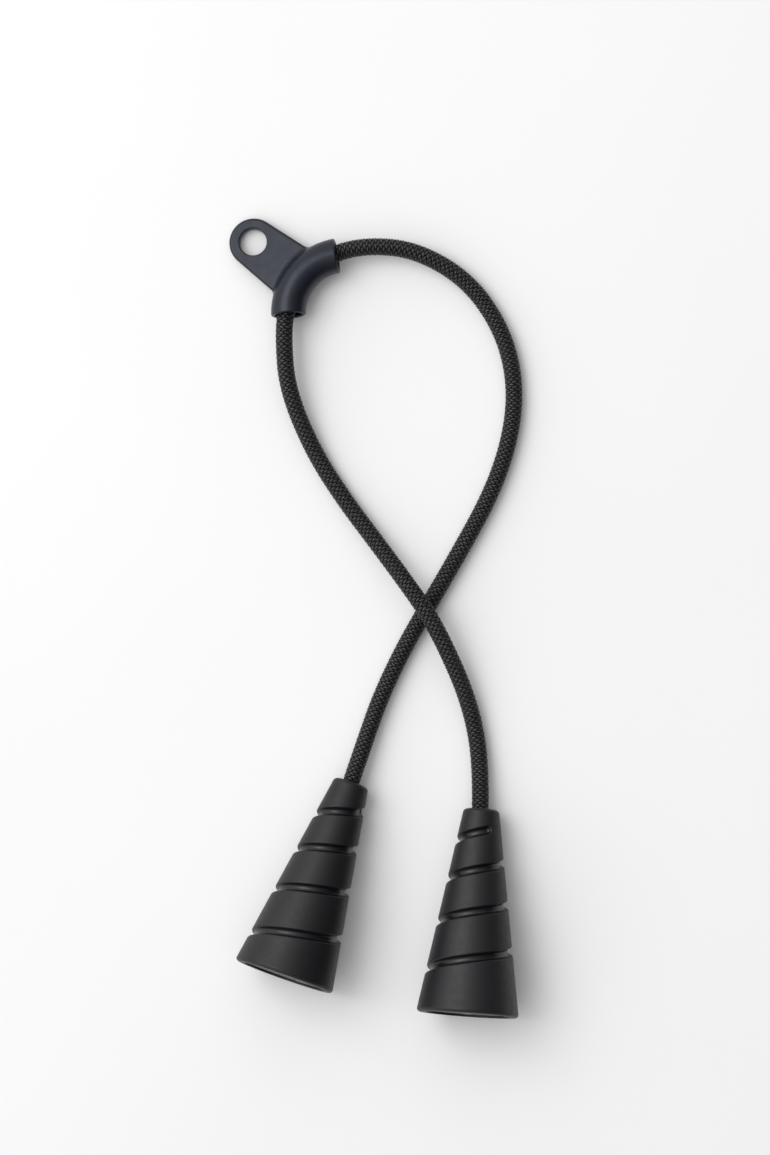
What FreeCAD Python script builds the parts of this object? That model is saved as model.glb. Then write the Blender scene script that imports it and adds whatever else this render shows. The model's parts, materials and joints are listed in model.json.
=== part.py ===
import FreeCAD, Part

import math
import os
import re

import Sketcher

# A pull rope for a cable machine, laid out on a table. One braided cord runs from a ribbed rubber cone,
# over itself in a loop, through a curved eyelet hanger that slides on it, and into a second cone.
# Each cone holds the cord's crimped end behind a seat, so it can spin on the cord.
# Millimetres, +Z up, table at Z = 0. The origin lies on the table under the middle of hanger and cones.
# A cone's own frame has its mouth at the origin and its axis along +Z towards the base.
# The hanger's own frame has the centre of its bend at the origin and its eyelet along +X.

SIZES = {
    # cord: the braided sheath's outside and the inside that the core fills
    "cord_radius": 5.0,
    "core_radius": 3.2,
    # cone outside
    "cone_length": 115.0,
    "mouth_radius": 9.95,
    "base_radius": 28.7,
    "mouth_rounding": 2.4,
    "base_rounding": 1.8,
    # spiral groove: a round-bottomed channel whose pitch grows with every turn, its centre off the flank
    "groove_radius": 2.9,
    "groove_sink": -0.4,
    "groove_start": 12.28,
    "groove_pitch": 20.1,
    "groove_growth": 2.35,
    "groove_turns": 3.7,
    "groove_bearing": 160.0,
    # stations along the cone's axis, measured from its mouth
    "nose_front": 3.0,
    "bush_end": 12.0,
    "core_step": 13.0,
    "seat": 14.0,
    "chamber_flare": 33.0,
    "boss_front": 96.5,
    "core_rear": 111.0,
    # radii inside the cone
    "lip_radius": 5.4,
    "nose_radius": 7.8,
    "step_radius": 8.6,
    "core_rear_radius": 23.6,
    "cord_hole_radius": 5.6,
    "chamber_radius": 7.2,
    "chamber_rear_radius": 20.4,
    "bush_bore": 5.35,
    "bush_outside": 6.6,
    # what holds the cord's end
    "thrust_thickness": 1.0,
    "thrust_outside": 7.0,
    "washer_gap": 0.1,
    "washer_thickness": 1.2,
    "washer_bore": 5.05,
    "washer_outside": 6.9,
    "barrel_front": 16.3,
    "barrel_outside": 6.8,
    "crimp_first": 2.5,
    "crimp_spacing": 3.6,
    "crimp_width": 1.4,
    "crimp_depth": 0.5,
    "cord_end": 29.5,
    "spike_tip": 19.0,
    "spike_tip_radius": 0.4,
    "spike_radius": 1.9,
    "spike_head_radius": 6.2,
    "spike_head": 1.5,
    # end cap and its screws
    "cap_radius": 23.4,
    "cap_face": 113.8,
    "screw_circle": 17.4,
    "screw_radius": 1.5,
    "screw_head_radius": 3.0,
    "screw_head": 1.5,
    "screw_length": 12.0,
    "screw_socket": 1.1,
    "screw_socket_depth": 1.0,
    "hole_clearance": 0.1,
    "boss_radius": 3.2,
    # eyelet hanger
    "bend_radius": 32.0,
    "tube_radius": 9.8,
    "bore_radius": 7.75,
    "bend_to_lower_mouth": 41.0,
    "bend_to_upper_mouth": 44.0,
    "eye_distance": 65.8,
    "eye_radius": 7.7,
    "tab_radius": 13.65,
    "tab_flare": 4.1,
    "tab_root": 8.3,
    "tab_thickness": 5.2,
    "tab_rounding": 1.5,
    "upper_web_radius": 9.0,
    "upper_web_start": 41.9,
    "lower_web_radius": 2.5,
    "lower_web_start": 37.8,
    "root_fillet": 3.5,
    "eye_rounding": 0.8,
    "mouth_outer_rounding": 0.9,
    "mouth_inner_rounding": 0.6,
    # places on the table
    "left_x": -11.8,
    "left_y": -93.0,
    "left_heading": -109.4,
    "left_roll": -84.4,
    "right_x": 61.24,
    "right_y": -108.0,
    "right_heading": -94.2,
    "right_roll": 0.0,
    "hanger_x": -15.4,
    "hanger_y": 172.0,
    "hanger_z": 15.6,
    "hanger_heading": 142.6,
    "hanger_tilt": 9.8,
    "hanger_tilt_heading": 130.0,
}

# The cord's route, from its end inside the right cone, up and over the crossing, through the hanger,
# round the loop and under the crossing to its end inside the left cone.
ROUTE = [
    (59.1, -137.1, 14.6),
    (61.9, -99.2, 8.4),
    (57.5, -54.0, 5.0),
    (36.5, -6.0, 16.6),
    (20.5, 17.5, 16.6),
    (2.0, 42.5, 8.0),
    (-16.5, 67.0, 5.0),
    (-34.0, 94.5, 5.0),
    (-48.0, 128.5, 12.0),
    (-50.0, 157.5, 14.4),
    (-48.6, 173.0, 12.1),
    (-39.9, 191.3, 10.6),
    (-24.4, 204.0, 10.5),
    (-2.5, 209.2, 12.3),
    (25.0, 206.6, 9.5),
    (54.0, 190.0, 5.0),
    (73.0, 162.5, 5.0),
    (80.5, 133.5, 5.0),
    (78.5, 104.0, 5.0),
    (68.0, 71.5, 5.0),
    (47.0, 33.0, 5.0),
    (9.5, -30.5, 5.0),
    (-8.8, -84.6, 8.4),
    (-21.4, -120.4, 14.6),
]

ARC_SHARE = 0.45  # of the shorter run beside a corner, taken by that corner's arc
SCREW_COUNT = 3
CRIMP_COUNT = 3
GROOVE_POINTS_PER_TURN = 16
VOLUME_TOLERANCE = 0.002

Vector = FreeCAD.Vector
ALONG_X = Vector(1, 0, 0)
ALONG_Y = Vector(0, 1, 0)
ALONG_Z = Vector(0, 0, 1)

doc = FreeCAD.newDocument("PullRope")
sheet = doc.addObject("Spreadsheet::Sheet", "Sizes")
for row, (alias, value) in enumerate(SIZES.items(), start=1):
    sheet.set(f"A{row}", alias)
    sheet.set(f"B{row}", str(value))
    sheet.setAlias(f"B{row}", alias)
doc.recompute()


def size(alias):
    """A driving dimension, read back from the sheet."""
    return float(sheet.get(alias))


def bound(text):
    """An expression in the sheet's words, written so that any object of the document can use it."""
    return re.sub(r"[a-z_]+", lambda word: "Sizes." + word.group(), text)


def bind(thing, **expressions):
    """Binds properties of an object to the sheet."""
    for name, text in expressions.items():
        thing.setExpression(name, bound(text))


def origin_part(body, role):
    """The plane or axis of a body's own origin with the given role."""
    return next(part for part in body.Origin.OriginFeatures if part.Role == role)


def new_body(label):
    body = doc.addObject("PartDesign::Body", label)
    body.Label = label
    return body


def new_sketch(body, plane, name):
    sketch = body.newObject("Sketcher::SketchObject", name)
    sketch.AttachmentSupport = [(origin_part(body, plane), "")]
    sketch.MapMode = "FlatFace"
    return sketch


def outline_sketch(body, corners, name="outline"):
    """A closed polygon on the body's XZ plane. Each corner is a pair of expressions: out from Z, along Z."""
    sketch = new_sketch(body, "XZ_Plane", name)
    count = len(corners)
    bearings = [2 * math.pi * i / count for i in range(count)]
    spots = [Vector(20 + 10 * math.cos(b), 20 + 10 * math.sin(b), 0) for b in bearings]
    for i in range(count):
        sketch.addGeometry(Part.LineSegment(spots[i], spots[(i + 1) % count]))
    for i in range(count):
        sketch.addConstraint(Sketcher.Constraint("Coincident", i, 2, (i + 1) % count, 1))
    for i, (out, along) in enumerate(corners):
        for kind, text, start in (("DistanceX", out, spots[i].x), ("DistanceY", along, spots[i].y)):
            index = sketch.addConstraint(Sketcher.Constraint(kind, -1, 1, i, 1, start))
            sketch.setExpression(f"Constraints[{index}]", bound(text))
    return sketch


def turned(label, corners):
    """A body turned about its Z axis from a polygon."""
    body = new_body(label)
    revolution = body.newObject("PartDesign::Revolution", "turning")
    revolution.Profile = outline_sketch(body, corners)
    revolution.ReferenceAxis = (origin_part(body, "Z_Axis"), [""])
    revolution.Angle = 360
    body.Tip = revolution
    doc.recompute()
    return body


def circle_sketch(body, plane, out, radius, name, along=None):
    """A circle centred on the sketch's first axis, at a height along the plane's normal if one is given."""
    sketch = new_sketch(body, plane, name)
    sketch.addGeometry(Part.Circle(Vector(20, 0, 0), ALONG_Z, 2))
    sketch.addConstraint(Sketcher.Constraint("PointOnObject", 0, 3, -1))
    for kind, text, start in (("DistanceX", out, 20.0), ("Radius", radius, 2.0)):
        where = (-1, 1, 0, 3, start) if kind == "DistanceX" else (0, start)
        index = sketch.addConstraint(Sketcher.Constraint(kind, *where))
        sketch.setExpression(f"Constraints[{index}]", bound(text))
    if along:
        sketch.setExpression("AttachmentOffset.Base.z", bound(along))
    return sketch


def round_pattern(body, features, name):
    """Repeats features about the body's Z axis, once for every screw."""
    pattern = body.newObject("PartDesign::PolarPattern", name)
    pattern.Originals = features
    pattern.Axis = (origin_part(body, "Z_Axis"), [""])
    pattern.Angle = 360
    pattern.Occurrences = SCREW_COUNT
    body.Tip = pattern
    doc.recompute()
    return pattern


def edges_where(feature, wanted):
    """The names of a feature's edges that pass a test."""
    edges = feature.Shape.Edges
    return [f"Edge{number}" for number, edge in enumerate(edges, start=1) if wanted(edge)]


def is_ring(edge, radius, along):
    """Whether an edge is a circle of this radius about Z, at this height."""
    curve = edge.Curve
    if not isinstance(curve, Part.Circle):
        return False
    centre = curve.Center
    return (
        math.isclose(curve.Radius, radius, abs_tol=0.01)
        and math.isclose(centre.z, along, abs_tol=0.01)
        and math.hypot(centre.x, centre.y) < 0.01
    )


def dress(body, kind, edges, size_text, name):
    """A fillet or chamfer on named edges of the body's last feature."""
    base = body.Tip
    feature = body.newObject("PartDesign::" + kind, name)
    feature.Base = (base, edges)
    bind(feature, **{"Radius" if kind == "Fillet" else "Size": size_text})
    doc.recompute()
    return feature


# ---- cord -------------------------------------------------------------------------------------------


def route_wire(points):
    """Straight runs joined by tangent arcs, each as large as its two runs allow."""
    edges = []
    run_start = points[0]
    for before, corner, after in zip(points, points[1:], points[2:]):
        back = before - corner
        ahead = after - corner
        reach = ARC_SHARE * min(back.Length, ahead.Length)
        half_turn = (math.pi - back.getAngle(ahead)) / 2
        radius = reach / math.tan(half_turn)
        back.normalize()
        ahead.normalize()
        entry = corner + back * reach
        leave = corner + ahead * reach
        inward = (back + ahead).normalize()
        middle = corner + inward * (radius / math.cos(half_turn) - radius)
        edges.append(Part.LineSegment(run_start, entry).toShape())
        edges.append(Part.Arc(entry, middle, leave).toShape())
        print(f"route corner: turn {math.degrees(2 * half_turn):.1f} degrees, radius {radius:.0f} mm")
        run_start = leave
    edges.append(Part.LineSegment(run_start, points[-1]).toShape())
    return Part.Wire(edges)


def cord_tube(route, radius, label):
    """A solid of round section swept along the route."""
    first_run = Vector(*ROUTE[1]) - Vector(*ROUTE[0])
    section = doc.addObject("Part::Circle", label + "_section")
    section.Placement = FreeCAD.Placement(Vector(*ROUTE[0]), FreeCAD.Rotation(ALONG_Z, first_run))
    bind(section, Radius=radius)
    tube = doc.addObject("Part::Sweep", label)
    tube.Label = label
    tube.Sections = [section]
    tube.Spine = (route, [f"Edge{number}" for number in range(1, len(route.Shape.Edges) + 1)])
    tube.Solid = True
    tube.Frenet = False
    doc.recompute()
    expected = math.pi * float(section.Radius) ** 2 * route.Shape.Length
    error = abs(tube.Shape.Volume - expected) / expected
    print(f"{label}: {route.Shape.Length:.1f} mm long, volume off by {error:.5f}")
    if error > VOLUME_TOLERANCE:
        raise ValueError(f"{label} doesn't fill its section along its route")
    return tube


def cut(label, base, tool):
    result = doc.addObject("Part::Cut", label)
    result.Label = label
    result.Base = base
    result.Tool = tool
    doc.recompute()
    return result


def make_cord(spikes):
    """The braided sheath and the core of parallel fibres inside it, opened at both ends by the wedges."""
    route = doc.addObject("Part::Feature", "cord_route")
    route.Shape = route_wire([Vector(*point) for point in ROUTE])
    outside = cord_tube(route, "cord_radius", "cord_outside")
    inside = cord_tube(route, "core_radius", "cord_inside")
    core = cord_tube(route, "core_radius", "core_blank")
    for side, spike in zip(("right", "left"), spikes):
        core = cut("cord_core" if spike is spikes[-1] else "core_cut_" + side, core, spike)
    return [cut("cord_sheath", outside, inside), core]


# ---- cones ------------------------------------------------------------------------------------------


def cone_placement(side):
    """Lays a cone on its side with its flank along the table. Its own -X faces up before it is rolled."""
    rise = math.atan2(size("base_radius") - size("mouth_radius"), size("cone_length"))
    mouth = Vector(size(side + "_x"), size(side + "_y"), size("mouth_radius") * math.cos(rise))
    turn = FreeCAD.Rotation(ALONG_Z, size(side + "_heading"))
    lean = FreeCAD.Rotation(ALONG_Y, 90 - math.degrees(rise))
    roll = FreeCAD.Rotation(ALONG_Z, size(side + "_roll"))
    return FreeCAD.Placement(mouth, turn * lean * roll)


def groove_solid():
    """The channel that the spiral groove takes out: a round worm along a helix whose pitch grows."""
    slope = (size("base_radius") - size("mouth_radius")) / size("cone_length")
    count = round(size("groove_turns") * GROOVE_POINTS_PER_TURN)

    def spot(number):
        turns = size("groove_turns") * number / count
        along = size("groove_start") + size("groove_pitch") * turns + size("groove_growth") * turns**2 / 2
        out = size("mouth_radius") + slope * along - size("groove_sink")
        bearing = math.radians(size("groove_bearing") + 360 * turns)
        return Vector(out * math.cos(bearing), out * math.sin(bearing), along)

    helix = Part.BSplineCurve()
    helix.interpolate([spot(number) for number in range(count + 1)])
    ends = (helix.FirstParameter, helix.LastParameter)
    mouth = Part.Circle(helix.value(ends[0]), helix.tangent(ends[0])[0], size("groove_radius"))
    worm = Part.Wire([helix.toShape()]).makePipeShell([Part.Wire([mouth.toShape()])], True, True)
    rounds = [Part.makeSphere(size("groove_radius") + 0.02, helix.value(end)) for end in ends]
    return worm, rounds


def make_sleeve(side):
    """The rubber grip: a round-edged cone with the spiral groove cut into its flank."""
    blank = turned(
        "sleeve_blank_" + side,
        [
            ("lip_radius", "0"),
            ("mouth_radius", "0"),
            ("base_radius", "cone_length"),
            ("core_rear_radius", "cone_length"),
            ("core_rear_radius", "core_rear"),
            ("step_radius", "core_step"),
            ("nose_radius", "nose_front"),
            ("lip_radius", "nose_front"),
        ],
    )
    mouth_edge = edges_where(blank.Tip, lambda edge: is_ring(edge, size("mouth_radius"), 0))
    dress(blank, "Fillet", mouth_edge, "mouth_rounding", "mouth_round")
    base_edge = edges_where(blank.Tip, lambda edge: is_ring(edge, size("base_radius"), size("cone_length")))
    dress(blank, "Fillet", base_edge, "base_rounding", "base_round")
    worm, rounds = groove_solid()
    result = blank
    tools = [("groove", worm), ("groove_start_round", rounds[0]), ("groove_end_round", rounds[1])]
    for name, shape in tools:
        tool = doc.addObject("Part::Feature", f"{name}_{side}")
        tool.Shape = shape
        last = name == tools[-1][0]
        result = cut(f"grip_sleeve_{side}" if last else f"sleeve_with_{name}_{side}", result, tool)
    return result


def make_core(side):
    """The rigid carrier inside the grip: bore for the bush, seat for the washers, chamber and screw bosses."""
    core = turned(
        "grip_core_" + side,
        [
            ("bush_outside", "nose_front"),
            ("nose_radius", "nose_front"),
            ("step_radius", "core_step"),
            ("core_rear_radius", "core_rear"),
            ("chamber_rear_radius", "core_rear"),
            ("chamber_radius", "chamber_flare"),
            ("chamber_radius", "seat"),
            ("cord_hole_radius", "seat"),
            ("cord_hole_radius", "bush_end"),
            ("bush_outside", "bush_end"),
        ],
    )
    boss = core.newObject("PartDesign::Pad", "boss")
    boss.Profile = circle_sketch(core, "XY_Plane", "screw_circle", "boss_radius", "boss_circle", "boss_front")
    bind(boss, Length="core_rear - boss_front")
    doc.recompute()
    hole = core.newObject("PartDesign::Pocket", "pilot_hole")
    hole.Profile = circle_sketch(core, "XY_Plane", "screw_circle", "screw_radius", "hole_circle", "core_rear")
    bind(hole, Length="screw_length")
    doc.recompute()
    round_pattern(core, [boss, hole], "bosses")
    return core


def make_cap(side):
    """The disc that closes the base, with countersunk screw holes."""
    cap = turned(
        "end_cap_" + side,
        [("0", "core_rear"), ("cap_radius", "core_rear"), ("cap_radius", "cap_face"), ("0", "cap_face")],
    )
    before = cap.Shape.Volume
    hole = cap.newObject("PartDesign::Pocket", "screw_hole")
    radius = "screw_radius + hole_clearance"
    hole.Profile = circle_sketch(cap, "XY_Plane", "screw_circle", radius, "hole_circle", "cap_face")
    bind(hole, Length="cap_face - core_rear + hole_clearance")
    doc.recompute()
    round_pattern(cap, [hole], "screw_holes")
    hole_radius = size("screw_radius") + size("hole_clearance")

    def is_hole_rim(edge):
        curve = edge.Curve
        if not isinstance(curve, Part.Circle) or curve.Radius > hole_radius + 0.01:
            return False
        return math.isclose(curve.Center.z, size("cap_face"), abs_tol=0.01)

    rims = edges_where(cap.Tip, is_hole_rim)
    dress(cap, "Chamfer", rims, "screw_head_radius - screw_radius", "countersinks")
    if cap.Shape.Volume >= before:
        raise ValueError("the screw holes cut nothing out of the end cap")
    return cap


def make_screws(side):
    """The countersunk cap screws of one cone, as one group of separate solids."""
    screws = []
    for number in range(SCREW_COUNT):
        bearing = math.radians(360 * number / SCREW_COUNT)
        out = size("screw_circle")
        seat = Vector(out * math.cos(bearing), out * math.sin(bearing), size("cap_face"))
        tag = f"_{side}_{number + 1}"
        shank = doc.addObject("Part::Cylinder", "screw_shank" + tag)
        shank.Placement.Base = seat - ALONG_Z * size("screw_length")
        bind(shank, Radius="screw_radius", Height="screw_length")
        head = doc.addObject("Part::Cone", "screw_head" + tag)
        head.Placement.Base = seat - ALONG_Z * size("screw_head")
        bind(head, Radius1="screw_radius", Radius2="screw_head_radius", Height="screw_head")
        whole = doc.addObject("Part::Fuse", "screw_blank" + tag)
        whole.Base = head
        whole.Tool = shank
        socket = doc.addObject("Part::Prism", "screw_socket" + tag)
        socket.Polygon = 6
        socket.Placement.Base = seat - ALONG_Z * size("screw_socket_depth")
        bind(socket, Circumradius="screw_socket", Height="screw_socket_depth")
        screws.append(cut("cap_screw" + tag, whole, socket))
    group = doc.addObject("Part::Compound", "cap_screws_" + side)
    group.Label = "cap_screws_" + side
    group.Links = screws
    doc.recompute()
    return group


def ring(label, inside, outside, front, back):
    """A plain turned ring between two stations."""
    return turned(label, [(inside, front), (outside, front), (outside, back), (inside, back)])


def make_barrel(side):
    """The sleeve crimped onto the cord's end, with its crimped rings."""
    corners = [("cord_radius", "barrel_front"), ("barrel_outside", "barrel_front")]
    for number in range(CRIMP_COUNT):
        start = f"barrel_front + crimp_first + {number} * crimp_spacing"
        waist = "barrel_outside - crimp_depth"
        corners.append(("barrel_outside", start))
        corners.append((waist, start + " + 0.4 * crimp_width"))
        corners.append((waist, start + " + 0.6 * crimp_width"))
        corners.append(("barrel_outside", start + " + crimp_width"))
    corners += [("barrel_outside", "cord_end"), ("cord_radius", "cord_end")]
    return turned("crimp_barrel_" + side, corners)


def make_spike(side):
    """The wedge driven into the core's end, with the head that closes the barrel."""
    return turned(
        "wedge_spike_" + side,
        [
            ("0", "spike_tip"),
            ("spike_tip_radius", "spike_tip"),
            ("spike_radius", "cord_end"),
            ("spike_head_radius", "cord_end"),
            ("spike_head_radius", "cord_end + spike_head"),
            ("0", "cord_end + spike_head"),
        ],
    )


def make_cone(side):
    """Every piece of one cone, and the fittings on the cord's end inside it."""
    thrust_back = "seat + thrust_thickness"
    washer_front = thrust_back + " + washer_gap"
    washer_back = washer_front + " + washer_thickness"
    thrust = ring("thrust_washer_" + side, "cord_hole_radius", "thrust_outside", "seat", thrust_back)
    washer = ring("load_washer_" + side, "washer_bore", "washer_outside", washer_front, washer_back)
    pieces = [
        make_sleeve(side),
        make_core(side),
        ring("guide_bush_" + side, "bush_bore", "bush_outside", "nose_front", "bush_end"),
        thrust,
        washer,
        make_barrel(side),
        make_spike(side),
        make_cap(side),
        make_screws(side),
    ]
    for piece in pieces:
        piece.Placement = cone_placement(side)
    return pieces


# ---- hanger -----------------------------------------------------------------------------------------


def hanger_placement():
    """Rests the hanger on its eyelet's rim, leaning towards the side that the cord bends away from."""
    across = math.radians(size("hanger_tilt_heading") + 90)
    lean = FreeCAD.Rotation(Vector(math.cos(across), math.sin(across), 0), size("hanger_tilt"))
    turn = FreeCAD.Rotation(ALONG_Z, size("hanger_heading"))
    place = Vector(size("hanger_x"), size("hanger_y"), size("hanger_z"))
    return FreeCAD.Placement(place, lean * turn)


def bend(body, kind, radius, name):
    """Turns a circle on the bend's centre line about Z, from the upper mouth to the lower one."""
    feature = body.newObject("PartDesign::" + kind, name)
    feature.Profile = circle_sketch(body, "XZ_Plane", "bend_radius", radius, name + "_circle")
    feature.ReferenceAxis = (origin_part(body, "Z_Axis"), [""])
    feature.Type = "TwoAngles"
    bind(feature, Angle="bend_to_lower_mouth", Angle2="bend_to_upper_mouth")
    body.Tip = feature
    doc.recompute()
    return feature


def tab_side(side):
    """Half of the tab's outline on the +Y side: round end, turn into the web, the web's middle, its foot."""
    flare = math.radians(size("tab_flare"))
    root = size("bend_radius") + size("tab_root")
    web = size(side + "_web_radius")
    outward = Vector(math.sin(flare), math.cos(flare), 0)
    touch = ALONG_X * size("eye_distance") + outward * size("tab_radius")
    start = size(side + "_web_start")
    turn = Vector(start, touch.y + (touch.x - start) * math.tan(flare), 0)
    centre = turn + outward * web
    far = centre.Length
    inward = (root**2 - web**2 + far**2) / (2 * far)
    across = math.sqrt(root**2 - inward**2)
    foot = Vector(centre.x * inward + centre.y * across, centre.y * inward - centre.x * across, 0) / far
    middle = centre + ((turn - centre) + (foot - centre)).normalize() * web
    return touch, turn, middle, foot


def tab_sketch(body):
    """The tab's outline: a round end, two flaring sides, their webs, and an arc inside the tube's wall."""
    eye = size("eye_distance")
    radius = size("tab_radius")
    root = size("bend_radius") + size("tab_root")
    flare = math.radians(size("tab_flare"))
    lower = tab_side("lower")
    upper = [Vector(point.x, -point.y, 0) for point in tab_side("upper")]
    sketch = new_sketch(body, "XY_Plane", "tab_outline")
    sketch.addGeometry(Part.Arc(upper[0], Vector(eye + radius, 0, 0), lower[0]))
    sketch.addGeometry(Part.LineSegment(lower[0], lower[1]))
    sketch.addGeometry(Part.Arc(lower[3], lower[2], lower[1]))
    sketch.addGeometry(Part.Arc(upper[3], Vector(root, 0, 0), lower[3]))
    sketch.addGeometry(Part.Arc(upper[1], upper[2], upper[3]))
    sketch.addGeometry(Part.LineSegment(upper[1], upper[0]))
    joints = [
        Sketcher.Constraint("PointOnObject", 0, 3, -1),
        Sketcher.Constraint("Tangent", 0, 2, 1, 1),
        Sketcher.Constraint("Tangent", 1, 2, 2, 2),
        Sketcher.Constraint("Coincident", 2, 1, 3, 2),
        Sketcher.Constraint("Coincident", 3, 1, 4, 2),
        Sketcher.Constraint("Tangent", 4, 1, 5, 1),
        Sketcher.Constraint("Tangent", 5, 2, 0, 1),
        Sketcher.Constraint("Coincident", 3, 3, -1, 1),
    ]
    sketch.addConstraint(joints)
    sized = [
        (("DistanceX", -1, 1, 0, 3, eye), "eye_distance"),
        (("Radius", 0, radius), "tab_radius"),
        (("Radius", 2, size("lower_web_radius")), "lower_web_radius"),
        (("Radius", 3, root), "bend_radius + tab_root"),
        (("Radius", 4, size("upper_web_radius")), "upper_web_radius"),
        (("DistanceX", -1, 1, 1, 2, lower[1].x), "lower_web_start"),
        (("DistanceX", -1, 1, 5, 1, upper[1].x), "upper_web_start"),
        (("Angle", 1, math.pi - flare), "(180 - tab_flare) * 1deg"),
        (("Angle", 5, flare), "tab_flare * 1deg"),
    ]
    for settings, text in sized:
        index = sketch.addConstraint(Sketcher.Constraint(*settings))
        sketch.setExpression(f"Constraints[{index}]", bound(text).replace("Sizes.deg", "deg"))
    return sketch


def off_tube(point):
    """How far a point is from the tube's outer face."""
    out = math.hypot(point.x, point.y) - size("bend_radius")
    return abs(math.hypot(out, point.z) - size("tube_radius"))


def is_tab_rim(edge):
    """Whether an edge outlines the tab's upper or lower face and is clear of the tube."""
    half = size("tab_thickness") / 2
    points = edge.discretize(3)
    flat = all(math.isclose(abs(point.z), half, abs_tol=0.01) for point in points)
    return flat and off_tube(points[1]) > 0.1


def is_tab_root(edge):
    """Whether an edge is where the tab meets the tube. The tube's own seam lies at Z = 0."""
    points = edge.discretize(3)
    on_tube = all(off_tube(point) < 0.01 for point in points)
    return on_tube and max(abs(points[0].z), abs(points[2].z)) > 0.5 and not is_mouth_rim(edge)


def is_mouth_rim(edge, radius=None):
    """Whether an edge is the end of the tube, or of its bore if that radius is given."""
    curve = edge.Curve
    if not isinstance(curve, Part.Circle) or abs(curve.Axis.z) > 0.01:
        return False
    return math.isclose(curve.Radius, radius or size("tube_radius"), abs_tol=0.01)


def is_eye_rim(edge):
    """Whether an edge is one of the two ends of the eyelet's hole."""
    curve = edge.Curve
    return isinstance(curve, Part.Circle) and math.isclose(curve.Radius, size("eye_radius"), abs_tol=0.01)


def make_hanger():
    """The moulded hanger: a bent tube that the cord slides through, with a flat eyelet tab outside the bend."""
    hanger = new_body("elbow_hanger")
    bend(hanger, "Revolution", "tube_radius", "tube")
    tab = hanger.newObject("PartDesign::Pad", "tab")
    tab.Profile = tab_sketch(hanger)
    tab.SideType = "Symmetric"
    bind(tab, Length="tab_thickness")
    doc.recompute()
    dress(hanger, "Fillet", edges_where(hanger.Tip, is_tab_rim), "tab_rounding", "tab_round")
    dress(hanger, "Fillet", edges_where(hanger.Tip, is_tab_root), "root_fillet", "root_round")
    eye = hanger.newObject("PartDesign::Pocket", "eye")
    eye.Profile = circle_sketch(hanger, "XY_Plane", "eye_distance", "eye_radius", "eye_circle")
    eye.SideType = "Symmetric"
    bind(eye, Length="2 * tab_thickness")
    doc.recompute()
    dress(hanger, "Fillet", edges_where(hanger.Tip, is_eye_rim), "eye_rounding", "eye_round")
    bend(hanger, "Groove", "bore_radius", "bore")
    dress(hanger, "Fillet", edges_where(hanger.Tip, is_mouth_rim), "mouth_outer_rounding", "rim_round")
    bore_rims = edges_where(hanger.Tip, lambda edge: is_mouth_rim(edge, size("bore_radius")))
    dress(hanger, "Fillet", bore_rims, "mouth_inner_rounding", "bore_round")
    return hanger


# ---- assembly ---------------------------------------------------------------------------------------

right_cone = make_cone("right")
left_cone = make_cone("left")
spikes = [piece for piece in right_cone + left_cone if piece.Label.startswith("wedge_spike")]
hanger = make_hanger()
hanger.Placement = hanger_placement()
nodes = [*make_cord(spikes), hanger, *right_cone, *left_cone]
doc.recompute()

for thing in doc.Objects:
    if "Invalid" in thing.State or "Error" in thing.State:
        raise ValueError(f"{thing.Label} failed: {thing.State}")
for node in nodes:
    if node.Shape.isNull() or not node.Shape.isValid():
        raise ValueError(f"{node.Label} has no valid shape")

os.makedirs("parts", exist_ok=True)
for node in nodes:
    node.Shape.exportStep(os.path.join("parts", node.Label + ".step"))
    print(f"{node.Label}: {len(node.Shape.Solids)} solid(s), {node.Shape.Volume:.0f} mm3")
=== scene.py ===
import json
import math

import bpy
import numpy as np
from mathutils import Matrix, Vector, kdtree


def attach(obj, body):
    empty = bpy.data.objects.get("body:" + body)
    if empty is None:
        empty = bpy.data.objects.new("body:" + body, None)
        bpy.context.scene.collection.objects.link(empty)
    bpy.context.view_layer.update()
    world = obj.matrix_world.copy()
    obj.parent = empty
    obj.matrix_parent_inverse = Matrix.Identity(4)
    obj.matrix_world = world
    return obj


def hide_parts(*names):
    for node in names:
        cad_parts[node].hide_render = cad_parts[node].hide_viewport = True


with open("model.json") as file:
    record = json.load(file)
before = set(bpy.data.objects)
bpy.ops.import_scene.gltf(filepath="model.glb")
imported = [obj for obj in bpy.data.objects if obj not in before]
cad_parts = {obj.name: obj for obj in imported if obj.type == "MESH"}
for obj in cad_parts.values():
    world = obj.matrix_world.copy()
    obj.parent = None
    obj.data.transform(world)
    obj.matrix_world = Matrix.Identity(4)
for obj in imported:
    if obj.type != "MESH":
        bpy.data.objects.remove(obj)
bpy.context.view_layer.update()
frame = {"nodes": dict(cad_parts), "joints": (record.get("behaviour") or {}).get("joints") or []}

TAU = 2 * math.pi
SIDES = ("left", "right")
joints = {joint["name"]: joint for joint in frame["joints"]}


# ---- camera -----------------------------------------------------------------------------------------

CAMERA_PLACE = (0.007, 0.0225, 2.034)
CAMERA_FIELD = math.radians(18.23)
SENSOR_HEIGHT_MM = 36

camera_data = bpy.data.cameras.new("camera")
camera_data.sensor_fit = "VERTICAL"
camera_data.sensor_height = SENSOR_HEIGHT_MM
camera_data.lens = SENSOR_HEIGHT_MM / 2 / math.tan(CAMERA_FIELD / 2)
camera_data.clip_start = 0.01
camera_data.clip_end = 20
camera = bpy.data.objects.new("camera", camera_data)
camera.location = CAMERA_PLACE
bpy.context.scene.collection.objects.link(camera)
bpy.context.scene.camera = camera
bpy.context.scene.view_settings.view_transform = "Standard"


# ---- mesh helpers -----------------------------------------------------------------------------------


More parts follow.
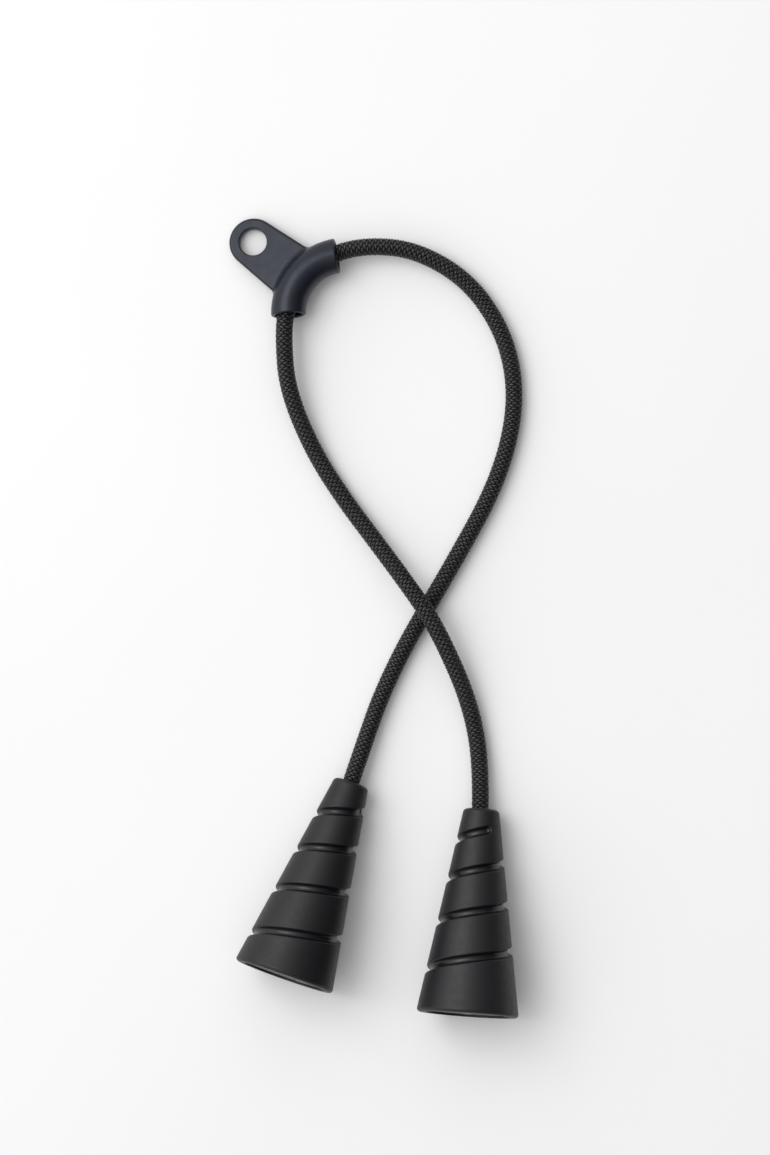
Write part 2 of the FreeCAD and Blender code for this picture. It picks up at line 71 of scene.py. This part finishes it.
def tube_faces(rows, columns):
    """Quads between successive rings of vertices, each ring closed on itself."""
    row, column = np.meshgrid(np.arange(rows - 1), np.arange(columns), indexing="ij")
    beside = (column + 1) % columns
    corners = [row * columns + column, row * columns + beside]
    corners += [(row + 1) * columns + beside, (row + 1) * columns + column]
    return np.stack(corners, axis=-1).reshape(-1, 4)


def mesh_object(name, vertices, faces, material, caps=()):
    """A smooth-shaded mesh of quads, and of the polygons in caps that close its ends."""
    mesh = bpy.data.meshes.new(name)
    polygons = [list(map(int, face)) for face in faces] + [list(map(int, cap)) for cap in caps]
    mesh.from_pydata(np.asarray(vertices).reshape(-1, 3).tolist(), [], polygons)
    mesh.update()
    mesh.shade_smooth()
    mesh.materials.append(material)
    thing = bpy.data.objects.new(name, mesh)
    bpy.context.scene.collection.objects.link(thing)
    return thing


def set_attribute(thing, name, values):
    """Stores one value per point of a mesh, for its material to read."""
    data = thing.data.attributes.new(name, "FLOAT", "POINT").data
    data.foreach_set("value", np.asarray(values, dtype=np.float32).ravel())


# ---- materials --------------------------------------------------------------------------------------


class Look:
    """A procedural material, built node by node around one principled shader."""

    def __init__(self, name, **settings):
        self.material = bpy.data.materials.new(name)
        self.material.use_nodes = True
        self.nodes = self.material.node_tree.nodes
        self.links = self.material.node_tree.links
        self.shader = self.nodes["Principled BSDF"]
        for socket, value in settings.items():
            self.shader.inputs[socket.replace("_", " ")].default_value = value
        self.place = self.nodes.new("ShaderNodeTexCoord").outputs["Object"]

    def noise(self, size, detail=2.0, roughness=0.5):
        """Noise whose blobs are about this many metres across."""
        node = self.nodes.new("ShaderNodeTexNoise")
        node.inputs["Scale"].default_value = 1 / size
        node.inputs["Detail"].default_value = detail
        node.inputs["Roughness"].default_value = roughness
        self.links.new(self.place, node.inputs["Vector"])
        return node.outputs["Fac"]

    def ramp(self, source, *stops):
        """A colour ramp through (position, grey or colour) stops."""
        node = self.nodes.new("ShaderNodeValToRGB")
        elements = node.color_ramp.elements
        while len(elements) < len(stops):
            elements.new(0.5)
        for element, (position, colour) in zip(elements, stops):
            element.position = position
            element.color = (*colour, 1) if hasattr(colour, "__len__") else (colour,) * 3 + (1,)
        self.links.new(source, node.inputs["Fac"])
        return node.outputs["Color"]

    def attribute(self, name):
        """A value that the mesh carries on its points."""
        node = self.nodes.new("ShaderNodeAttribute")
        node.attribute_name = name
        return node.outputs["Fac"]

    def mix(self, share, first, second):
        """The first colour where share is 0, and the second where it is 1."""
        node = self.nodes.new("ShaderNodeMix")
        node.data_type = "RGBA"
        self.links.new(share, node.inputs["Factor"])
        colours = [socket for socket in node.inputs if socket.type == "RGBA"]
        self.links.new(first, colours[0])
        self.links.new(second, colours[1])
        return next(socket for socket in node.outputs if socket.type == "RGBA")

    def drive(self, socket, source):
        self.links.new(source, self.shader.inputs[socket])

    def bump(self, *layers):
        """Adds (height, distance in metres, strength) layers of relief."""
        normal = None
        for height, distance, strength in layers:
            node = self.nodes.new("ShaderNodeBump")
            node.inputs["Distance"].default_value = distance
            node.inputs["Strength"].default_value = strength
            self.links.new(height, node.inputs["Height"])
            if normal:
                self.links.new(normal, node.inputs["Normal"])
            normal = node.outputs["Normal"]
        self.links.new(normal, self.shader.inputs["Normal"])


def rubber_look():
    """Matt rubber, smoother down in the groove, which hands and tables don't rub."""
    look = Look("rubber", Specular_IOR_Level=0.42)
    tint = look.ramp(look.noise(0.02, 4), (0.3, (0.0022, 0.0025, 0.0036)), (0.7, (0.0040, 0.0044, 0.0060)))
    look.drive("Base Color", tint)
    flank = look.ramp(look.noise(0.004, 6, 0.6), (0.3, 0.46), (0.7, 0.56))
    groove = look.ramp(look.noise(0.002, 4, 0.6), (0.3, 0.28), (0.7, 0.36))
    look.drive("Roughness", look.mix(look.attribute("groove"), flank, groove))
    look.bump((look.noise(0.0003, 2), 0.00004, 0.6), (look.noise(0.0016, 3), 0.00008, 0.4))
    return look.material


def hanger_look():
    look = Look("moulded_nylon", Specular_IOR_Level=0.36, Specular_Tint=(0.86, 0.90, 1.0, 1.0))
    tint = look.ramp(look.noise(0.015, 4), (0.3, (0.0055, 0.0065, 0.0125)), (0.7, (0.0085, 0.0095, 0.0165)))
    look.drive("Base Color", tint)
    look.drive("Roughness", look.ramp(look.noise(0.005, 5, 0.6), (0.3, 0.30), (0.7, 0.40)))
    look.bump((look.noise(0.00035, 2), 0.00003, 0.5), (look.noise(0.006, 2), 0.0001, 0.3))
    return look.material


def braid_look():
    """Black yarn with painted light in its colour: a painted highlight, grey, where the strands stand proud,
    and painted shade, nearly black, down between them.
    """
    look = Look("braid", Specular_IOR_Level=0.26)
    # the crowns' grey is a painted highlight and the gaps' near black is painted shade, mixed by how proud
    # each point stands
    crown_painted_highlight = look.ramp(look.noise(0.0025, 3), (0.3, (0.030, 0.030, 0.031)), (0.7, (0.075, 0.076, 0.078)))
    gap_painted_shade = look.ramp(look.noise(0.003, 3), (0.3, (0.0006, 0.0006, 0.0007)), (0.7, (0.0015, 0.0015, 0.0018)))
    proud = look.ramp(look.attribute("proud"), (0.82, 0.0), (0.98, 1.0))
    look.drive("Base Color", look.mix(proud, gap_painted_shade, crown_painted_highlight))
    look.drive("Roughness", look.ramp(look.noise(0.0006, 3), (0.3, 0.24), (0.7, 0.42)))
    look.bump((look.noise(0.00022, 2), 0.00004, 0.8))
    return look.material


def plain_look(name, dark, light, rough, metallic=0.0, grain=0.0005):
    look = Look(name, Metallic=metallic)
    look.drive("Base Color", look.ramp(look.noise(0.008, 4), (0.3, dark), (0.7, light)))
    look.drive("Roughness", look.ramp(look.noise(0.002, 4), (0.3, rough - 0.06), (0.7, rough + 0.06)))
    look.bump((look.noise(grain, 3), 0.00002, 0.5))
    return look.material


rubber = rubber_look()
nylon = hanger_look()
braid = braid_look()
carrier = plain_look("carrier_plastic", (0.02, 0.02, 0.022), (0.03, 0.03, 0.032), 0.5)
acetal = plain_look("acetal", (0.52, 0.52, 0.48), (0.62, 0.62, 0.58), 0.4)
zinc = plain_look("zinc_plate", (0.5, 0.5, 0.51), (0.62, 0.62, 0.63), 0.3, 1.0)
aluminium = plain_look("aluminium", (0.66, 0.66, 0.67), (0.76, 0.76, 0.77), 0.28, 1.0)
fibre = plain_look("core_fibre", (0.42, 0.42, 0.40), (0.6, 0.6, 0.57), 0.7)


# ---- cord -------------------------------------------------------------------------------------------

# The same route as the CAD tube's, in metres, but under a millimetre off it just outside the grips:
# its end in the right cone, the crossing, the hanger, the loop and its end in the left cone.
ROUTE = [
    (0.0591, -0.1371, 0.0146),
    (0.0619, -0.0992, 0.0076),
    (0.0575, -0.0540, 0.0050),
    (0.0365, -0.0060, 0.0166),
    (0.0205, 0.0175, 0.0166),
    (0.0020, 0.0425, 0.0080),
    (-0.0165, 0.0670, 0.0050),
    (-0.0340, 0.0945, 0.0050),
    (-0.0480, 0.1285, 0.0120),
    (-0.0500, 0.1575, 0.0144),
    (-0.0486, 0.1730, 0.0121),
    (-0.0399, 0.1913, 0.0106),
    (-0.0244, 0.2040, 0.0105),
    (-0.0025, 0.2092, 0.0123),
    (0.0250, 0.2066, 0.0095),
    (0.0540, 0.1900, 0.0050),
    (0.0730, 0.1625, 0.0050),
    (0.0805, 0.1335, 0.0050),
    (0.0785, 0.1040, 0.0050),
    (0.0680, 0.0715, 0.0050),
    (0.0470, 0.0330, 0.0050),
    (0.0095, -0.0305, 0.0050),
    (-0.0095, -0.0846, 0.0076),
    (-0.0214, -0.1204, 0.0146),
]
ROUTE_RESOLUTION = 64

STRANDS = 16
STRAND_STEP = 0.0006
LAY_LENGTH = 0.024
STRAND_MIDDLE = 0.00412
STRAND_WAVE = 0.00036
STRAND_HALF_WIDTH = 0.00098
STRAND_HALF_THICKNESS = 0.00052
STRAND_CORNERS = 12
INNER_RADIUS = 0.0036
INNER_CORNERS = 32


def route_line():
    """Points along the smooth line that the route's points control."""
    data = bpy.data.curves.new("route", "CURVE")
    data.dimensions = "3D"
    data.resolution_u = ROUTE_RESOLUTION
    spline = data.splines.new("NURBS")
    spline.points.add(len(ROUTE) - 1)
    for point, place in zip(spline.points, ROUTE):
        point.co = (*place, 1)
    spline.order_u = 3
    spline.use_endpoint_u = True
    route = bpy.data.objects.new("route", data)
    bpy.context.scene.collection.objects.link(route)
    mesh = bpy.data.meshes.new_from_object(route)
    line = np.array([vertex.co for vertex in mesh.vertices])
    bpy.data.objects.remove(route)
    return line


def even_line(line, step):
    """The same line in steps of equal length."""
    along = np.concatenate([[0], np.cumsum(np.linalg.norm(np.diff(line, axis=0), axis=1))])
    places = np.linspace(0, along[-1], round(along[-1] / step) + 1)
    return np.stack([np.interp(places, along, line[:, axis]) for axis in range(3)], axis=1), places


def frames_along(line):
    """Two unit vectors across the line at each point, carried along it without twist."""
    ahead = np.gradient(line, axis=0)
    ahead /= np.linalg.norm(ahead, axis=1)[:, None]
    first = np.empty_like(ahead)
    carried = np.cross(ahead[0], (0.0, 0.0, 1.0))
    for i, direction in enumerate(ahead):
        carried = carried - direction * np.dot(carried, direction)
        carried /= np.linalg.norm(carried)
        first[i] = carried
    return first, np.cross(ahead, first)


def strand_rings(way, strand, along):
    """One strand's distance from the cord's middle line and its bearing round it, in a row per step."""
    half = STRANDS // 2
    steepness = math.atan(TAU * STRAND_MIDDLE / LAY_LENGTH)
    corner = np.arange(STRAND_CORNERS) * TAU / STRAND_CORNERS
    side = np.cos(corner) * STRAND_HALF_WIDTH / math.cos(steepness) / STRAND_MIDDLE
    rise = np.sin(corner) * STRAND_HALF_THICKNESS
    angle = TAU * strand / half + way * TAU * along / LAY_LENGTH
    # the strand meets the ones wound the other way at whole values of crossing
    crossing = strand + angle * half / TAU + way * along * half / LAY_LENGTH
    wave = way * STRAND_WAVE * np.cos(TAU * crossing / 2)
    return (STRAND_MIDDLE + wave)[:, None] + rise[None, :], angle[:, None] + side[None, :]


def make_cord():
    """The braided sheath: strands wound both ways, each over one and under one, round an inner tube in the
    braid's painted shade, which shows dark between the strands.
    """
    line, along = even_line(route_line(), STRAND_STEP)
    across, up = frames_along(line)
    rows = len(line)
    highest = STRAND_MIDDLE + STRAND_WAVE + STRAND_HALF_THICKNESS
    lowest = STRAND_MIDDLE - STRAND_WAVE - STRAND_HALF_THICKNESS

    def around(radius, angle):
        """Points beside the line, from a row of radii and a row of angles per point of it."""
        out = across[:, None, :] * np.cos(angle)[..., None] + up[:, None, :] * np.sin(angle)[..., None]
        return line[:, None, :] + out * radius[..., None]

    angles = np.broadcast_to(np.arange(INNER_CORNERS) * TAU / INNER_CORNERS, (rows, INNER_CORNERS))
    vertices = [around(np.full(angles.shape, INNER_RADIUS), angles).reshape(-1, 3)]
    faces = [tube_faces(rows, INNER_CORNERS)]
    ring = np.arange(INNER_CORNERS)
    caps = [ring[::-1], ring + (rows - 1) * INNER_CORNERS]
    # the inner tube stands at 0, so it takes the braid's painted shade
    proud = [np.zeros(angles.size)]
    start = rows * INNER_CORNERS
    for way in (1, -1):
        for strand in range(STRANDS // 2):
            radius, bearing = strand_rings(way, strand, along)
            vertices.append(around(radius, bearing).reshape(-1, 3))
            faces.append(tube_faces(rows, STRAND_CORNERS) + start)
            ring = np.arange(STRAND_CORNERS) + start
            caps += [ring[::-1], ring + (rows - 1) * STRAND_CORNERS]
            # how far each point stands out, which sets the braid's painted highlight and painted shade
            proud.append(((radius - lowest) / (highest - lowest)).ravel())
            start += rows * STRAND_CORNERS
    cord = mesh_object("braided_cord", np.concatenate(vertices), np.concatenate(faces), braid, caps)
    set_attribute(cord, "proud", np.concatenate(proud))
    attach(cord, "cord")
    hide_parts("cord_sheath")


make_cord()


# ---- grips ------------------------------------------------------------------------------------------

CONE_LENGTH = 0.115
MOUTH_RADIUS = 0.00995
BASE_RADIUS = 0.0287
LIP_RADIUS = 0.0052
LIP_ROUNDING = 0.0006
MOUTH_ROUNDING = 0.0024
BASE_ROUNDING = 0.0018
CAP_RADIUS = 0.0234
CAP_FACE = 0.1110
BORE_ROWS = (0.0029, 0.0018)
SEAT_GAP = 0.0002
SEAT_ROUNDING = 0.0005

GROOVE_START = 0.01228
GROOVE_PITCH = 0.0201
GROOVE_GROWTH = 0.00235
GROOVE_TURNS = 3.7
GROOVE_DEPTH = 0.0028
GROOVE_FLOOR = 0.0002
GROOVE_LIP = 0.0009
GROOVE_TOE = 0.0020
GROOVE_WALL = math.radians(80)
GROOVE_BEARINGS = {"right": 160.0, "left": 75.6}
GROOVE_SAMPLES_PER_TURN = 1600
FLANK_FROM = 0.9 * MOUTH_RADIUS

SLEEVE_COLUMNS = 360
SLEEVE_ROW = 0.0002
ARC_STEPS = 10

FLANK_SLOPE = math.atan2(BASE_RADIUS - MOUTH_RADIUS, CONE_LENGTH)


def groove_section():
    """Distance from the groove's middle line against depth: a floor, a toe, a wall and a rounded lip."""
    swing = np.linspace(0, GROOVE_WALL, 12)
    toe_x = GROOVE_FLOOR + GROOVE_TOE * np.sin(swing)
    toe_depth = GROOVE_DEPTH - GROOVE_TOE * (1 - np.cos(swing))
    lip_drop = GROOVE_LIP * (1 - math.cos(GROOVE_WALL))
    wall = (toe_depth[-1] - lip_drop) / math.tan(GROOVE_WALL)
    lip_x = toe_x[-1] + wall + GROOVE_LIP * (math.sin(GROOVE_WALL) - np.sin(swing[::-1]))
    lip_depth = GROOVE_LIP * (1 - np.cos(swing[::-1]))
    return np.concatenate([[0], toe_x, lip_x]), np.concatenate([[GROOVE_DEPTH], toe_depth, lip_depth])


def groove_tree(bearing):
    """The groove's middle line on the cone, as a search tree of points."""
    turns = np.linspace(0, GROOVE_TURNS, round(GROOVE_TURNS * GROOVE_SAMPLES_PER_TURN))
    along = GROOVE_START + GROOVE_PITCH * turns + GROOVE_GROWTH * turns**2 / 2
    out = MOUTH_RADIUS + math.tan(FLANK_SLOPE) * along
    angle = math.radians(bearing) + TAU * turns
    tree = kdtree.KDTree(len(turns))
    for i, point in enumerate(np.stack([out * np.cos(angle), out * np.sin(angle), along], axis=1)):
        tree.insert(point, i)
    tree.balance()
    return tree


def arc(centre, radius, start, end):
    """Points of an arc in the (out, along) plane, angles in degrees from out towards along."""
    swing = np.radians(np.linspace(start, end, ARC_STEPS))
    return np.stack([centre[0] + radius * np.cos(swing), centre[1] + radius * np.sin(swing)], axis=1)


def reach(radius, turn):
    """Distance from a corner that turns by this many degrees to the start of its rounding."""
    return radius * math.tan(math.radians(turn) / 2)


def sleeve_outline():
    """The sleeve's section as (out, along) points, from inside the lip over the flank to the cap's seat."""
    slope = math.degrees(FLANK_SLOPE)
    inside = np.array([(LIP_RADIUS, along) for along in BORE_ROWS])
    lip = arc((LIP_RADIUS + LIP_ROUNDING, LIP_ROUNDING), LIP_ROUNDING, 180, 270)
    mouth_out = MOUTH_RADIUS - reach(MOUTH_ROUNDING, 90 - slope)
    mouth = arc((mouth_out, MOUTH_ROUNDING), MOUTH_ROUNDING, 270, 360 - slope)
    base_out = BASE_RADIUS - reach(BASE_ROUNDING, 90 + slope)
    base = arc((base_out, CONE_LENGTH - BASE_ROUNDING), BASE_ROUNDING, -slope, 90)
    rows = round((base[0, 1] - mouth[-1, 1]) / SLEEVE_ROW)
    flank = np.linspace(mouth[-1], base[0], rows)[1:-1]
    seat_radius = CAP_RADIUS + SEAT_GAP
    seat = arc((seat_radius + SEAT_ROUNDING, CONE_LENGTH - SEAT_ROUNDING), SEAT_ROUNDING, 90, 180)
    end = np.array([(seat_radius, CAP_FACE + SEAT_ROUNDING), (seat_radius, CAP_FACE)])
    return np.concatenate([inside, lip, mouth, flank, base, seat, end])


def groove_depths(grid, bearing):
    """How far the groove presses each point of the grid in, and nothing on the lip's inside and face."""
    tree = groove_tree(bearing)
    distance = np.array([tree.find(point)[2] for point in grid.reshape(-1, 3)]).reshape(grid.shape[:2])
    depth = np.interp(distance, *groove_section(), right=0)
    out = np.hypot(grid[..., 0], grid[..., 1])
    return depth * (out > FLANK_FROM)


def cone_place(joint):
    """Rotation and shift, as a 3 by 4 array, from a cone's own axes to the frame's."""
    axis = Vector(joint["axis"])
    # bearings on the cone count from the direction across its axis that points down
    down = (Vector((0, 0, -1)) + axis * axis.z).normalized()
    sideways = axis.cross(down)
    return np.array(Matrix([(*row, shift) for row, shift in zip(zip(down, sideways, axis), joint["pos_m"])]))


def make_sleeve(side):
    """A rubber grip's visible skin, with the spiral groove pressed into its flank."""
    outline = sleeve_outline()
    angles = np.arange(SLEEVE_COLUMNS) * TAU / SLEEVE_COLUMNS
    grid = np.empty((len(outline), SLEEVE_COLUMNS, 3))
    grid[..., 0] = outline[:, 0, None] * np.cos(angles)
    grid[..., 1] = outline[:, 0, None] * np.sin(angles)
    grid[..., 2] = outline[:, 1, None]
    depth = groove_depths(grid, GROOVE_BEARINGS[side])
    grid[..., 0] -= depth * math.cos(FLANK_SLOPE) * np.cos(angles)
    grid[..., 1] -= depth * math.cos(FLANK_SLOPE) * np.sin(angles)
    grid[..., 2] += depth * math.sin(FLANK_SLOPE)
    place = cone_place(joints[f"cone_{side}_spin"])
    world = grid.reshape(-1, 3) @ place[:, :3].T + place[:, 3]
    sleeve = mesh_object(f"rubber_grip_{side}", world, tube_faces(len(outline), SLEEVE_COLUMNS), rubber)
    set_attribute(sleeve, "groove", depth / GROOVE_DEPTH)
    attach(sleeve, f"cone_{side}")
    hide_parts(f"grip_sleeve_{side}")


for side in SIDES:
    make_sleeve(side)


# ---- pieces kept from the CAD -----------------------------------------------------------------------

KEPT = {
    "elbow_hanger": nylon,
    "cord_core": fibre,
}
for side in SIDES:
    KEPT[f"grip_core_{side}"] = carrier
    KEPT[f"guide_bush_{side}"] = acetal
    KEPT[f"thrust_washer_{side}"] = acetal
    KEPT[f"load_washer_{side}"] = zinc
    KEPT[f"crimp_barrel_{side}"] = aluminium
    KEPT[f"wedge_spike_{side}"] = aluminium
    KEPT[f"end_cap_{side}"] = carrier
    KEPT[f"cap_screws_{side}"] = zinc
for node, material in KEPT.items():
    piece = frame["nodes"][node]
    for slot in piece.material_slots:
        slot.material = material


# ---- floor and light --------------------------------------------------------------------------------


def floor_look():
    look = Look("floor", Specular_IOR_Level=0.2)
    look.drive("Base Color", look.ramp(look.noise(0.3, 2), (0.3, 0.86), (0.7, 0.88)))
    look.shader.inputs["Roughness"].default_value = 0.8
    return look.material


FLOOR_SIZE = 6
bpy.ops.mesh.primitive_plane_add(size=FLOOR_SIZE, location=(0, 0, 0))
floor = bpy.context.object
floor.name = "floor"
floor.data.materials.append(floor_look())


def softbox(name, place, aim, size, power):
    data = bpy.data.lights.new(name, "AREA")
    data.shape = "SQUARE"
    data.size = size
    data.energy = power
    lamp = bpy.data.objects.new(name, data)
    lamp.location = place
    lamp.rotation_euler = (Vector(aim) - Vector(place)).to_track_quat("-Z", "Y").to_euler()
    bpy.context.scene.collection.objects.link(lamp)


softbox("key", place=(-1.18, 0.64, 1.85), aim=(0, 0, 0), size=1.5, power=24)

WINDOW_SIDE = Vector((-0.9, 0.3, 0.3)).normalized()
SKY_STRENGTH = 1.32
SKY_STOPS = ((0.1, 0.05), (0.4, 0.22), (0.55, 0.50), (0.75, 0.85), (1.0, 1.0))


def studio_world():
    """A sky that is bright towards the window's side and dark away from it."""
    world = bpy.data.worlds.new("studio")
    world.use_nodes = True
    nodes = world.node_tree.nodes
    links = world.node_tree.links
    towards = nodes.new("ShaderNodeVectorMath")
    towards.operation = "DOT_PRODUCT"
    towards.inputs[1].default_value = WINDOW_SIDE
    share = nodes.new("ShaderNodeMapRange")
    share.inputs["From Min"].default_value = -1
    ramp = nodes.new("ShaderNodeValToRGB")
    elements = ramp.color_ramp.elements
    while len(elements) < len(SKY_STOPS):
        elements.new(0.5)
    for element, (position, grey) in zip(elements, SKY_STOPS):
        element.position = position
        element.color = (grey, grey, grey, 1)
    links.new(nodes.new("ShaderNodeTexCoord").outputs["Generated"], towards.inputs[0])
    links.new(towards.outputs["Value"], share.inputs["Value"])
    links.new(share.outputs["Result"], ramp.inputs["Fac"])
    links.new(ramp.outputs["Color"], nodes["Background"].inputs["Color"])
    nodes["Background"].inputs["Strength"].default_value = SKY_STRENGTH
    return world


bpy.context.scene.world = studio_world()
